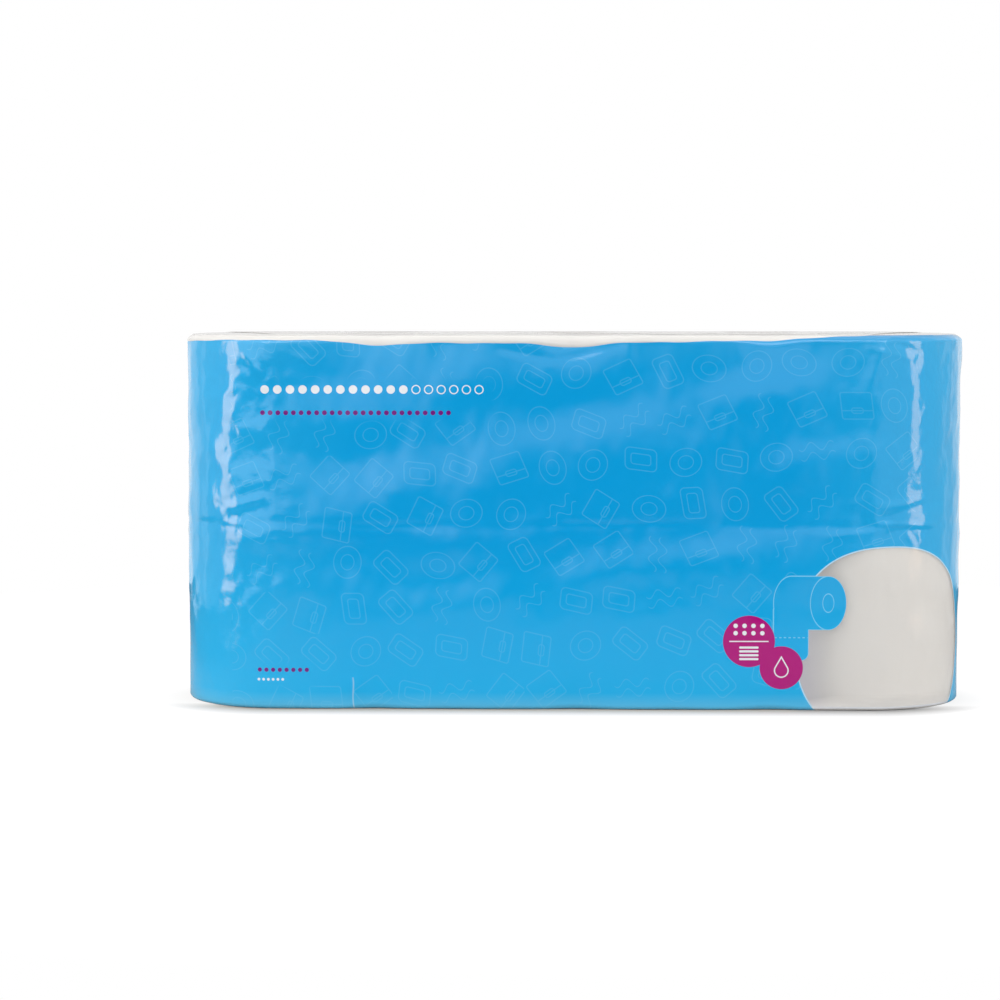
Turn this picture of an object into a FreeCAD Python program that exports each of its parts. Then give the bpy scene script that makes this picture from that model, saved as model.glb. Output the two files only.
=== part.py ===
"""Pack of eight toilet paper rolls in a printed film wrap.

The rolls stand on end, four side by side and two high. A tight film tube goes round them,
so that the pack's plan is a straight-sided oval. The film closes on the top and the bottom
with envelope folds: the end folds go in first, then the front flap, then the rear flap,
which laps over the front one. Under the pack its weight presses both flaps flush. A lap
seam runs up the back.

The origin is under the middle of the pack, on the surface that it stands on. The front
faces -Y, and +Z is up. Lengths are in millimetres.
"""

import FreeCAD, Part
import Sketcher
import os
from FreeCAD import Vector

doc = FreeCAD.newDocument("toilet_roll_pack")

# Driving sizes
SIZES = [
    ("columns", 4, "rolls side by side"),
    ("layers", 2, "rolls one on another"),
    ("roll_diameter", 101.8, "outside of a paper roll"),
    ("roll_height", 96, "width of the paper"),
    ("rim_bevel", 3, "bevel where the wrap presses on a roll's rim"),
    ("column_gap", 0.2, "between neighbouring rolls"),
    ("dish_radius", 37, "outside of the turns that lie a little sunk in a roll's end"),
    ("dish_depth", 0.4, "how far those turns lie sunk"),
    ("core_diameter", 44, "outside of the cardboard core"),
    ("core_wall", 0.7, "wall of the cardboard core"),
    ("core_fit", 0.15, "between core and paper, on the radius"),
    ("core_inset", 1, "how far a core ends inside its roll's ends"),
    ("film_wall", 0.3, "one layer of film"),
    ("film_gap", 0.3, "between film and rolls"),
    ("waist_depth", 1.1, "crease in the film between the two layers of rolls"),
    ("flap_lap", 30, "how far the rear flap laps over the front flap"),
    ("pressed_line", 1.5, "line along the rear flap's edge, where the pack's weight presses it flat"),
    ("seam_width", 12, "lap seam up the back"),
    ("seam_place", 25, "the seam's middle, to the right of the pack's middle"),
    ("dip_radius", 45, "dip of the film between two rolls, at the top and bottom edges"),
    ("dip_depth", 4.8, "how deep that dip would cut into a square edge"),
]
sizes = doc.addObject("Spreadsheet::Sheet", "sizes")
for row, (alias, value, note) in enumerate(SIZES, start=1):
    sizes.set(f"A{row}", note)
    sizes.set(f"B{row}", str(value))
    sizes.setAlias(f"B{row}", alias)

# Sizes that follow from them
WORKED = [
    ("roll_radius", "=sizes.roll_diameter / 2"),
    ("pitch", "=sizes.roll_diameter + sizes.column_gap"),
    ("end_x", "=pitch * (sizes.columns - 1) / 2"),
    ("bore_radius", "=sizes.core_diameter / 2 + sizes.core_fit"),
    ("inside_half", "=roll_radius + sizes.film_gap"),
    ("outside_half", "=inside_half + sizes.film_wall"),
    ("inside_edge", "=sizes.rim_bevel + (1 - sqrt(2)) * sizes.film_gap"),
    ("outside_edge", "=inside_edge + (4 - sqrt(2)) * sizes.film_wall"),
    ("closure", "=3 * sizes.film_wall"),
    ("stack_height", "=sizes.roll_height * sizes.layers"),
    ("ceiling", "=closure + stack_height + sizes.film_gap"),
    ("height", "=ceiling + closure"),
    ("dip_out", "=(sizes.dip_radius - sizes.dip_depth) / sqrt(2)"),
    ("fold_reach", "=outside_half * 2"),
]
worked = doc.addObject("Spreadsheet::Sheet", "worked")
for row, (alias, formula) in enumerate(WORKED, start=1):
    worked.set(f"A{row}", alias)
    worked.set(f"B{row}", formula)
    worked.setAlias(f"B{row}", alias)
doc.recompute()

columns = int(sizes.columns)
layers = int(sizes.layers)


def plane(body, role):
    """One of the body's own origin planes."""
    return next(feature for feature in body.Origin.OriginFeatures if feature.Role == role)


def new_body(label):
    body = doc.addObject("PartDesign::Body", label)
    body.Label = label
    return body


def new_sketch(body, name, role, lift="0"):
    """A sketch on one of the body's planes, lifted off it along its normal."""
    sketch = body.newObject("Sketcher::SketchObject", name)
    sketch.AttachmentSupport = (plane(body, role), [""])
    sketch.MapMode = "FlatFace"
    sketch.setExpression("AttachmentOffset.Base.z", lift)
    return sketch


def place_point(sketch, geometry, end, x, y):
    """Ties a point of the sketch to two expressions, measured from the sketch's origin."""
    for kind, expression in (("DistanceX", x), ("DistanceY", y)):
        value = float(sizes.evalExpression(expression))
        index = sketch.addConstraint(Sketcher.Constraint(kind, -1, 1, geometry, end, value))
        sketch.setExpression(f"Constraints[{index}]", expression)


def outline(sketch, corners):
    """A closed outline of straight lines through corners, each a pair of expressions."""
    points = [
        Vector(float(sizes.evalExpression(x)), float(sizes.evalExpression(y)), 0)
        for x, y in corners
    ]
    first = sketch.GeometryCount
    count = len(points)
    for index, point in enumerate(points):
        sketch.addGeometry(Part.LineSegment(point, points[(index + 1) % count]), False)
    for index in range(count):
        following = first + (index + 1) % count
        sketch.addConstraint(Sketcher.Constraint("Coincident", first + index, 2, following, 1))
    for index, (x, y) in enumerate(corners):
        place_point(sketch, first + index, 1, x, y)


def ring(sketch, outer, inner):
    """Two circles about the sketch's origin, their radii given by expressions."""
    for expression in (outer, inner):
        radius = float(sizes.evalExpression(expression))
        circle = sketch.addGeometry(Part.Circle(Vector(0, 0, 0), Vector(0, 0, 1), radius), False)
        sketch.addConstraint(Sketcher.Constraint("Coincident", circle, 3, -1, 1))
        index = sketch.addConstraint(Sketcher.Constraint("Radius", circle, radius))
        sketch.setExpression(f"Constraints[{index}]", expression)


def pad(body, name, sketch, length, midplane=False):
    feature = body.newObject("PartDesign::Pad", name)
    feature.Profile = sketch
    feature.Midplane = midplane
    feature.Refine = True
    feature.setExpression("Length", length)
    return feature


def pocket(body, name, sketch, length, upwards=False):
    feature = body.newObject("PartDesign::Pocket", name)
    feature.Profile = sketch
    feature.Reversed = upwards
    feature.Refine = True
    feature.setExpression("Length", length)
    return feature


def bevel(body, name, base, edges, size):
    feature = body.newObject("PartDesign::Chamfer", name)
    feature.Base = (base, edges)
    feature.setExpression("Size", size)
    return feature


def rim_edges(shape, levels, half_length, reach):
    """Names of the edges at the given heights that lie at reach from the pack's middle line."""
    names = []
    for number, edge in enumerate(shape.Edges, start=1):
        box = edge.BoundBox
        middle = edge.valueAt((edge.FirstParameter + edge.LastParameter) / 2)
        past_end = max(abs(middle.x) - half_length, 0)
        at_reach = abs(Vector(past_end, middle.y, 0).Length - reach) < 0.01
        at_level = any(max(abs(box.ZMin - z), abs(box.ZMax - z)) < 0.001 for z in levels)
        if at_reach and at_level:
            names.append(f"Edge{number}")
    return names


def side(half, bottom, top, mirrored=False, from_x="0"):
    """The pack's side in section, from the bottom up, with the crease between the layers."""
    middle = "(worked.closure + worked.stack_height / 2)"
    sign = "-" if mirrored else "+"
    out = f"{from_x} {sign} {half}"
    crease = f"{from_x} {sign} ({half} - sizes.waist_depth)"
    corners = [
        (out, bottom),
        (out, f"{middle} - sizes.rim_bevel"),
        (crease, middle),
        (out, f"{middle} + sizes.rim_bevel"),
        (out, top),
    ]
    return corners[::-1] if mirrored else corners


def wrapped_block(label, half, bottom, top, edge):
    """The straight-sided oval block that the film follows: a straight middle, a half turn
    of the same side at each end, and bevelled top and bottom edges."""
    body = new_body(label)
    middle = new_sketch(body, f"{label}_middle", "YZ_Plane")
    outline(middle, side(half, bottom, top) + side(half, bottom, top, mirrored=True))
    straight = pad(body, f"{label}_straight", middle, "worked.end_x * 2", midplane=True)

    end = new_sketch(body, f"{label}_end", "XZ_Plane")
    turned = side(half, bottom, top, from_x="worked.end_x")
    outline(end, [("worked.end_x", bottom)] + turned + [("worked.end_x", top)])
    end_x = float(worked.end_x)
    axis = Part.LineSegment(Vector(end_x, 0, 0), Vector(end_x, float(worked.height), 0))
    line = end.addGeometry(axis, True)
    place_point(end, line, 1, "worked.end_x", "0")
    place_point(end, line, 2, "worked.end_x", "worked.height")
    turn = body.newObject("PartDesign::Revolution", f"{label}_turn")
    turn.Profile = end
    turn.ReferenceAxis = (end, ["Axis0"])
    turn.Midplane = True
    turn.Angle = 180
    turn.Refine = True

    other = body.newObject("PartDesign::Mirrored", f"{label}_other_end")
    other.Originals = [turn]
    other.MirrorPlane = (plane(body, "YZ_Plane"), [""])
    other.Refine = True
    body.Tip = other
    doc.recompute()

    levels = [float(sizes.evalExpression(bottom)), float(sizes.evalExpression(top))]
    reach = float(sizes.evalExpression(half))
    edges = rim_edges(other.Shape, levels, end_x, reach)
    body.Tip = bevel(body, f"{label}_edges", other, edges, edge)
    doc.recompute()
    return body


def add_folds(body, name, level, front_reach, upwards):
    """Steps of the envelope folds in one closure. The rear flap is the outermost layer, the
    front flap lies one layer deeper as far out as front_reach, and the end folds two layers
    deeper. The fold edges run out at 45 degrees from the end rolls' middles."""
    lap = "(sizes.flap_lap / 2)"
    front = new_sketch(body, f"{name}_front_flap_edge", "XY_Plane", level)
    outline(
        front,
        [
            (f"-(worked.end_x + {lap})", f"-{lap}"),
            (f"worked.end_x + {lap}", f"-{lap}"),
            (f"worked.end_x + {front_reach}", f"-{front_reach}"),
            (f"-(worked.end_x + {front_reach})", f"-{front_reach}"),
        ],
    )
    pocket(body, f"{name}_front_flap", front, "sizes.film_wall", upwards)
    ends = new_sketch(body, f"{name}_end_fold_edges", "XY_Plane", level)
    reach = "worked.fold_reach"
    for sign in ("", "-"):
        outline(
            ends,
            [
                (f"{sign}(worked.end_x)", "0"),
                (f"{sign}(worked.end_x + {reach})", f"-{reach}"),
                (f"{sign}(worked.end_x + {reach})", reach),
            ],
        )
    pocket(body, f"{name}_end_folds", ends, "sizes.film_wall * 2", upwards)


def add_seam(body):
    """The lap seam up the back: a second layer of film that follows the back's crease."""
    start = "worked.outside_edge"
    stop = "worked.height - worked.outside_edge"
    face = "worked.outside_half"
    raised = f"({face} + sizes.film_wall)"
    strip = new_sketch(body, "seam_strip", "YZ_Plane", "sizes.seam_place")
    outline(strip, side(raised, start, stop) + side(face, start, stop)[::-1])
    pad(body, "seam", strip, "sizes.seam_width", midplane=True)


def dips_at_valleys(name, radius):
    """The film's dips between neighbouring rolls, at the top and bottom edges, front and
    back: balls that bite into the edge."""
    balls = []
    for valley in range(columns - 1):
        along = f"worked.pitch * {valley + 0.5} - worked.end_x"
        for y_sign in ("-", "+"):
            for level, z_sign in (("0", "-"), ("worked.height", "+")):
                ball = doc.addObject("Part::Sphere", f"{name}_{len(balls) + 1}")
                ball.setExpression("Radius", radius)
                ball.setExpression("Placement.Base.x", along)
                ball.setExpression("Placement.Base.y", f"{y_sign}(worked.outside_half + worked.dip_out)")
                ball.setExpression("Placement.Base.z", f"{level} {z_sign} worked.dip_out")
                balls.append(ball)
    group = doc.addObject("Part::Compound", name)
    group.Links = balls
    return group


def cut(name, base, tool):
    feature = doc.addObject("Part::Cut", name)
    feature.Base = base
    feature.Tool = tool
    return feature


def film_wrap():
    outside = wrapped_block(
        "wrap_outside", "worked.outside_half", "0", "worked.height", "worked.outside_edge"
    )
    pressed_line_reach = "(sizes.flap_lap / 2 + sizes.pressed_line)"
    add_folds(outside, "bottom", "0", pressed_line_reach, upwards=True)
    add_folds(outside, "top", "worked.height", "worked.fold_reach", upwards=False)
    add_seam(outside)
    inside = wrapped_block(
        "wrap_inside", "worked.inside_half", "worked.closure", "worked.ceiling", "worked.inside_edge"
    )
    dips = dips_at_valleys("outside_dip", "sizes.dip_radius")
    deeper_dips = dips_at_valleys("inside_dip", "sizes.dip_radius + sizes.film_wall")
    skin = cut("dipped_outside", outside, dips)
    space = cut("dipped_inside", inside, deeper_dips)
    wrap = cut("film_wrap", skin, space)
    wrap.Label = "film_wrap"
    return wrap


def paper_roll(label):
    """The wound paper, all its turns as one solid, with bevelled rims and sunk inner turns."""
    body = new_body(label)
    section = new_sketch(body, f"{label}_ring", "XY_Plane")
    ring(section, "worked.roll_radius", "worked.bore_radius")
    wound = pad(body, f"{label}_wound", section, "sizes.roll_height")
    doc.recompute()
    levels = [0, float(sizes.roll_height)]
    edges = rim_edges(wound.Shape, levels, 0, float(worked.roll_radius))
    body.Tip = bevel(body, f"{label}_rims", wound, edges, "sizes.rim_bevel")
    for end, level, upwards in (("lower", "0", True), ("upper", "sizes.roll_height", False)):
        sunk = new_sketch(body, f"{label}_{end}_turns", "XY_Plane", level)
        ring(sunk, "sizes.dish_radius", "worked.bore_radius")
        pocket(body, f"{label}_{end}_dish", sunk, "sizes.dish_depth", upwards)
    return body


def roll_core(label):
    """The cardboard tube that the paper is wound on."""
    body = new_body(label)
    section = new_sketch(body, f"{label}_ring", "XY_Plane", "sizes.core_inset")
    ring(section, "sizes.core_diameter / 2", "sizes.core_diameter / 2 - sizes.core_wall")
    pad(body, f"{label}_tube", section, "sizes.roll_height - 2 * sizes.core_inset")
    return body


def stand(piece, column, layer):
    """Stands a roll or core in its place in the pack."""
    piece.setExpression("Placement.Base.x", f"worked.pitch * {column} - worked.end_x")
    piece.setExpression("Placement.Base.z", f"worked.closure + sizes.roll_height * {layer}")


pieces = [film_wrap()]
LAYER_NAMES = ["lower", "upper", "third", "fourth"]
for layer in range(layers):
    for column in range(columns):
        place = f"{LAYER_NAMES[layer]}_{column + 1}"
        for piece in (paper_roll(f"paper_roll_{place}"), roll_core(f"core_{place}")):
            stand(piece, column, layer)
            pieces.append(piece)
doc.recompute()

# Every object and every piece is sound before anything is written
for thing in doc.Objects:
    faults = [state for state in thing.State if state in ("Invalid", "Error")]
    if faults:
        raise RuntimeError(f"{thing.Label} did not compute: {faults}")
for piece in pieces:
    shape = piece.Shape
    if shape.isNull() or not shape.isValid() or len(shape.Solids) != 1:
        raise RuntimeError(f"{piece.Label} is not one sound solid")

os.makedirs("parts", exist_ok=True)
for piece in pieces:
    piece.Shape.exportStep(f"parts/{piece.Label}.step")
    print(piece.Label, round(piece.Shape.Volume, 1), piece.Shape.BoundBox)
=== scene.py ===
# %% [markdown]
# # Eight rolls of toilet paper in printed film
# The pack is four rolls wide and two rolls high, in one tube of thin plastic film. The film is blue
# ink on the outside, with a clear window low on the right, and it is clear where it is folded over
# the top and the bottom. This lesson builds the film, the rolls and the cardboard cores around a
# frame of plain solids that already has the real sizes, in metres, with the front towards -Y.

import functools
import math

import bpy
import numpy as np
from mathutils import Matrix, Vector


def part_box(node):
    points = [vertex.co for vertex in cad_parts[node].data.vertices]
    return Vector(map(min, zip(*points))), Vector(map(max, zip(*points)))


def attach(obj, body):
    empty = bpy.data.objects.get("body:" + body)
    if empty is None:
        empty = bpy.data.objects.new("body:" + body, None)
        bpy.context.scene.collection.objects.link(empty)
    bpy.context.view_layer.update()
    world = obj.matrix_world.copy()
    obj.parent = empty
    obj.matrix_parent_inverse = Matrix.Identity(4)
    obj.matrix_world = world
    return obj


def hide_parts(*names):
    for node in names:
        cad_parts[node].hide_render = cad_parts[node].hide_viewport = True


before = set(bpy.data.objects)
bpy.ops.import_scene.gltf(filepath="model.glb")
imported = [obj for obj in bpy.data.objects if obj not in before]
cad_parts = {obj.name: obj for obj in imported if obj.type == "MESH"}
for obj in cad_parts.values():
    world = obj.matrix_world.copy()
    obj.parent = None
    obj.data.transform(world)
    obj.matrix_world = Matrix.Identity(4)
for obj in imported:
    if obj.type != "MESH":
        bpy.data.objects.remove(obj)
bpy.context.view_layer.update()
mm = 0.001
print("nodes in the frame:", len(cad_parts))

# %% [markdown]
# ## Sizes that come from the frame
# The frame knows how large the wrap, the rolls and the cores are, so every size here is read from
# it. Only what the frame leaves out, such as how deep a crease is, is written as a number later.

# %% Read the sizes
wrap_low, wrap_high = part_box("film_wrap")
roll_names = sorted(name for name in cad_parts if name.startswith("paper_roll"))
core_names = sorted(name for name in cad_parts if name.startswith("core"))
roll_boxes = {name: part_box(name) for name in roll_names}
core_boxes = {name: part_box(name) for name in core_names}

roll_low, roll_high = roll_boxes[roll_names[0]]
roll_radius = (roll_high.x - roll_low.x) / 2
roll_height = roll_high.z - roll_low.z
roll_axes = sorted({round((low.x + high.x) / 2, 5) for low, high in roll_boxes.values()})
rims = sorted({round(box[end].z, 5) for box in roll_boxes.values() for end in (0, 1)})
end_x = roll_axes[-1]
film_height = wrap_high.z
half_wall = 0.15 * mm  # the wrap's solid is 0.3 mm thick, and the film lies in its middle
film_half = -wrap_low.y - half_wall
print(f"rolls {roll_radius * 2 / mm:.1f} mm across, axes at {roll_axes}, rims at {rims}")

# %% [markdown]
# ## Unrolling the film
# A tube of film is easy to think about when it is unrolled: `s` is the distance round the pack from
# the middle of the front, growing to the right, and `z` is the height. A print, a crease and a fold
# then all have a plain place, and one function rolls them up again.

# %% Roll the film up
girth = 4 * end_x + 2 * math.pi * film_half
half_turn = math.pi * film_half


def oval(s):
    """Place and outward direction on a straight-sided oval, for distances s round it.

    Up to end_x the point is (s, -film_half). On the half round it is the end's centre plus
    film_half times (sin a, -cos a), where a is the distance past end_x over film_half. Behind that
    it runs back along +film_half. The left side mirrors the right side.
    """
    s = (s + girth / 2) % girth - girth / 2
    run = np.abs(s)
    angle = np.clip((run - end_x) / film_half, 0, math.pi)
    behind = np.clip(run - end_x - half_turn, 0, None)
    along = np.minimum(run, end_x) - behind + film_half * np.sin(angle)
    place = np.stack([np.sign(s) * along, -film_half * np.cos(angle)], -1)
    outward = np.stack([np.sign(s) * np.sin(angle), -np.cos(angle)], -1)
    return place, outward


print(f"the tube is {girth / mm:.0f} mm round")

# %% [markdown]
# ## How the film gives way
# Film is pulled tight over the rolls, so its surface is almost the plain oval, and what the eye reads
# as film is a set of shallow marks: a groove where the two layers of rolls meet, a dip at each valley
# between two rolls, puckers along the folded edges, a few drawn creases and wide slack bands. Each
# is a small height added to the oval. They could be painted as bump, but highlights slide over real
# shapes far better, so they are geometry.

# %% Small shapes that the marks are made of
def bell(x):
    """One at x = 0, falling smoothly to nothing past about 2: e to the minus x squared."""
    return np.exp(-x * x)


def ease(x):
    """Nought below 0, one above 1, and 3x squared minus 2x cubed between."""
    x = np.clip(x, 0, 1)
    return x * x * (3 - 2 * x)


def beside_line(s, z, line):
    """How points lie beside a line (s0, z0, s1, z1): their share along it and height above it."""
    s0, z0, s1, z1 = line
    length = math.hypot(s1 - s0, z1 - z0)
    along = ((s - s0) * (s1 - s0) + (z - z0) * (z1 - z0)) / length ** 2
    above = ((z - z0) * (s1 - s0) - (s - s0) * (z1 - z0)) / length
    return along, above


def crease(s, z, line, half_width, height):
    """A ridge along a line on the unrolled film, or a furrow where height is negative.

    Across the line it is a bell, and along the line it rises as the square root of 4t(1 - t).
    """
    along, above = beside_line(s, z, line)
    return height * bell(above / half_width) * np.sqrt(np.clip(4 * along * (1 - along), 0, 1))


def slack(s, z, line, half_width, height):
    """A wide band of film that leans back, and settles again on both sides.

    The height falls as the tanh of the distance above the line, times a wider bell.
    """
    along, above = beside_line(s, z, line)
    fade = ease(along * 4) * ease((1 - along) * 4)
    settling = bell(above / (2.6 * half_width))
    return -height * np.tanh(above / half_width) * settling * fade


def wander(s, height, length, phase=0):
    """A slow wave: height times the sine of s over length, plus the phase."""
    return height * np.sin(s / length + phase)


# %% Waves that run in every direction
def wave_plan(count, longest, shortest, seed):
    """Lengths from longest to shortest, each with a seeded direction and a seeded phase."""
    turns = np.random.default_rng(seed).uniform(0, 2 * math.pi, (count, 2))
    return zip(np.geomspace(longest, shortest, count), turns)


def waves(s, z, count, longest, shortest, height, seed, stretch=1.0):
    """The sum of sine waves whose heights go with their lengths, scaled to the given height.

    stretch above 1 makes the waves longer along z than round the pack, as film pulled upwards is.
    """
    total = np.zeros_like(s)
    for size, (heading, phase) in wave_plan(count, longest, shortest, seed):
        across = s * math.cos(heading) + z * math.sin(heading) / stretch
        total += size * np.sin(2 * math.pi * across / size + phase)
    return total * height / longest


def crumple(s, z, count, longest, shortest, height, seed, stretch=1.0):
    """Sharp little ridges: a sum like that of waves, but of one minus the absolute sine.

    A second, longer wave along each ridge bends it.
    """
    total = np.zeros_like(s)
    for size, (heading, phase) in wave_plan(count, longest, shortest, seed):
        across = s * math.cos(heading) + z * math.sin(heading) / stretch
        sideways = s * math.sin(heading) - z * math.cos(heading)
        bend = 0.6 * np.sin(2 * math.pi * sideways / (2.3 * size))
        total += size * (1 - np.abs(np.sin(math.pi * across / size + phase + bend)))
    return total * height / longest


# %% [markdown]
# ### The marks themselves
# The groove wanders a little up and down, as no two rims meet exactly. The valleys are where the flat
# sides have nothing behind them. Puckers are short upright folds near an edge that was turned over,
# and the drawn creases are listed one by one, because a real pack has only a few and each has a place.

# %% Groove, valleys and puckers
waist = rims[len(rims) // 2]
valleys = [(a + b) / 2 for a, b in zip(roll_axes[:-1], roll_axes[1:])]
groove_drop, groove_width = 1.2 * mm, 2.6 * mm
pucker_count, share_at_top = 90, 0.55
end_blend = 30 * mm


def near_ends(s, start):
    """Nought along the flat sides, and eased up to one over 30 mm from start times end_x."""
    return ease((np.abs(s) - start * end_x) / end_blend)


def groove(s, z):
    """A soft furrow between the layers, whose depth and height wander with s."""
    level = waist - groove_drop + wander(s, 1.0 * mm, 31 * mm) + wander(s, 0.6 * mm, 11 * mm, 2)
    depth = (0.09 + 0.08 * near_ends(s, 0.8)) * mm * (1 + wander(s, 0.4, 17 * mm, 1))
    return -depth * bell((z - level) / groove_width)


def at_valleys(s, half_width):
    """A bell at each valley of the flat sides: round the ends, outward y to the 8th fades it."""
    place, outward = oval(s)
    bells = sum(bell((place[..., 0] - x) / half_width) for x in valleys)
    return bells * np.abs(outward[..., 1]) ** 8


def valley_dips(s, edge_gap):
    """Where two rolls part, the film lies in a little, and more towards the folded edges."""
    near_edge = np.exp(-edge_gap / (9 * mm))
    return -0.45 * mm * at_valleys(s, 30 * mm) - 1.5 * mm * at_valleys(s, 17 * mm) * near_edge


def puckers(s, z):
    """Short upright folds along the top and bottom edges, from seeded places.

    Each is a bell across, leans by its tilt, and fades as a bell with the distance from its edge.
    """
    random = np.random.default_rng(21)
    total = np.zeros_like(s)
    for _ in range(pucker_count):
        centre = random.uniform(-girth / 2, girth / 2)
        edge = film_height if random.random() < share_at_top else 0
        width = random.uniform(1.2, 3.2) * mm
        reach = random.uniform(5, 17) * mm
        height = random.uniform(-0.16, 0.2) * mm
        tilt = random.uniform(-0.35, 0.35)
        gap = np.abs(edge - z)
        total += height * bell((s - centre - tilt * gap) / width) * bell(gap / reach)
    return total


# %% Creases drawn one by one
# Each row is a line's ends (s, z, s, z), its half width and its height, in millimetres.
drawn_creases = mm * np.array([
    (-186, 102, -158, 111, 2.8, 0.55),
    (-190, 108, -172, 98, 2.0, -0.25),
    (-184, 97, -168, 96, 1.6, 0.30),
    (-178, 97, -135, 91, 2.6, 0.22),
    (-174, 189, -164, 180, 2.2, 0.30),
    (-150, 186, -132, 179, 1.8, 0.16),
    (-138, 190, -128, 181, 1.6, 0.14),
    (-192, 160, -170, 168, 2.2, 0.22),
    (-170, 186, -160, 172, 2.0, 0.35),
    (-165, 150, -150, 120, 6.0, 0.35),
    (155, 97, 192, 95.5, 1.3, 0.55),
    (130, 90, 168, 95, 1.8, 0.25),
    (158, 104, 188, 111, 2.0, 0.35),
    (226, 194, 236, 170, 2.4, 0.70),
    (172, 93, 178, 84, 1.3, 0.22),
    (179, 93, 183, 84, 1.3, 0.20),
    (164, 191, 181, 184, 1.8, -0.45),
    (150, 188, 176, 181, 1.6, 0.24),
    (-40, 188, -8, 181, 2.4, -0.28),
    (-8, 181, 28, 190, 2.4, -0.28),
    (-20, 178, -6, 160, 2.2, 0.18),
    (-14, 176, -9, 163, 1.2, -0.14),
    (-113, 1, -114, 18, 1.9, 0.40),
    (-114, 9, -119, 19, 1.7, 0.25),
    (-114, 9, -108, 19, 1.7, 0.25),
])
slack_bands = mm * np.array([
    (-200, 95, 178, 190, 10, 0.78),
    (-60, 66, 190, 102, 9, 0.54),
    (-175, 36, -20, 66, 12, 0.264),
    (-160, 160, -30, 186, 8, 0.4),
    (90, 128, 186, 150, 8, 0.36),
    (-190, 128, -100, 118, 9, 0.36),
    (-186, 97, -138, 88, 5, 0.4),
])
# Where the upright highlight on each end wanders: height in millimetres, and turn in degrees.
left_lean = [
    (0, 0), (64, 0.6), (77, 0.8), (95, -0.4), (104, -3.3), (110, -4.8), (119, -3.1), (135, -3.0),
    (147, 0.8), (160, 2.9), (174, 5.8), (182, 6.5), (194, 5.2),
]
right_lean = [(0, 0), (80, 2), (96, 3), (101, 1.5), (107, -2), (120, 0), (150, 0), (194, 0)]
left_highlight, right_highlight = -end_x - 26 * mm, end_x + 24 * mm
lean_width = 20 * mm


def leaning(s, z, centre, lean):
    """Turns the film by the angle that lean gives for each height: that times s, under a bell."""
    heights, angles = np.array(lean, float).T
    turn = np.radians(np.interp(z, heights * mm, angles))
    return turn * (s - centre) * bell((s - centre) / lean_width)


# %% Paper stops the film
paper_gap = 0.1 * mm
rim_round = 3 * mm
give = 0.08 * mm


def room_behind(s, z):
    """How far in the film may go before it meets paper.

    On a flat side that is the roll's radius minus its chord height there, and near a rim the round
    of the rim gives its own size less the distance to the rim.
    """
    place, _ = oval(s)
    nearest = np.min([np.abs(place[..., 0] - axis) for axis in roll_axes], axis=0)
    off_axis = np.where(np.abs(place[..., 0]) > end_x, 0, nearest)
    chord = roll_radius - np.sqrt(np.clip(roll_radius ** 2 - off_axis ** 2, 0, None))
    to_rim = np.min([np.abs(z - level) for level in rims], axis=0)
    return film_half - roll_radius - paper_gap + chord + np.clip(rim_round - to_rim, 0, None)


def relief(s, z):
    """All the marks together, kept outside the paper by a soft limit.

    The limit is the paper plus give times the logarithm of one plus e to the room over give.
    """
    edge_gap = np.minimum(z, film_height - z)
    calm = ease(edge_gap / (5 * mm))
    height = groove(s, z) + valley_dips(s, edge_gap) + puckers(s, z)
    height += leaning(s, z, left_highlight, left_lean) * calm
    height += leaning(s, z, right_highlight, right_lean) * calm
    for *line, half_width, rise in drawn_creases:
        height += crease(s, z, line, half_width, rise)
    for *line, half_width, rise in slack_bands:
        height += slack(s, z, line, half_width, rise) * calm
    # Each sum takes its count, longest and shortest length, height, seed and stretch.
    small = waves(s, z, 9, 80 * mm, 26 * mm, 0.13 * mm, 3) * calm
    small += waves(s, z, 14, 20 * mm, 6 * mm, 0.020 * mm, 5, 1.8)
    small += crumple(s, z, 12, 24 * mm, 5 * mm, 0.15 * mm, 9, 1.4) * (0.06 + 0.94 * near_ends(s, 0.85))
    height += small * (0.35 + 0.65 * ease((z - 20 * mm) / (40 * mm)))
    paper = -room_behind(s, z)
    return paper + give * np.logaddexp(0, (height - paper) / give)


# %% [markdown]
# ## The sheet of film
# The tube is one sheet with a glued lap at the back. Above the rolls it is closed as a parcel is: the
# two ends are tucked in first, then the front flap is laid over them and the rear flap over that. A
# bellied cushion shape would be easier, but the laps and their straight edges are what makes a top
# look folded. One grid of points makes the wall and its rounded edges, and each flap is a grid that
# starts on the wall's last row, so the sheet stays in one piece.

# %% Points round and up the wall
lap_start, lap_width, lap_step = 25 * mm, 12 * mm, 0.3 * mm
top_edge, top_power = 3.3 * mm, 1.55
bottom_edge, bottom_power = 2.2 * mm, 1.8
ring_start = lap_start - 2 * end_x - half_turn
ring_end = ring_start + girth + lap_width


def spaced(stops):
    """Values from stop to stop, each stretch divided evenly: stops are (value, steps after it)."""
    parts = [
        np.linspace(a, b, steps, endpoint=False)
        for (a, steps), (b, _) in zip(stops[:-1], stops[1:])
    ]
    return np.concatenate(parts + [[stops[-1][0]]])


quarter = half_turn / 2
diagonal = half_turn / 4
ring = spaced([
    (ring_start, 52),
    (-end_x - half_turn, 16),
    (-end_x - half_turn + diagonal, 16),
    (-end_x - quarter, 28),
    (-end_x - diagonal, 42),
    (-end_x, 160),
    (end_x, 42),
    (end_x + diagonal, 28),
    (end_x + quarter, 16),
    (end_x + half_turn - diagonal, 16),
    (end_x + half_turn, 38),
    (ring_end - lap_width, 8),
    (ring_end, 0),
])
share_up = spaced([(0, 22), (0.2, 20), (0.44, 22), (0.56, 46), (0.86, 28), (1, 0)])
print(f"wall grid: {len(ring)} points round, {len(share_up)} up")

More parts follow.
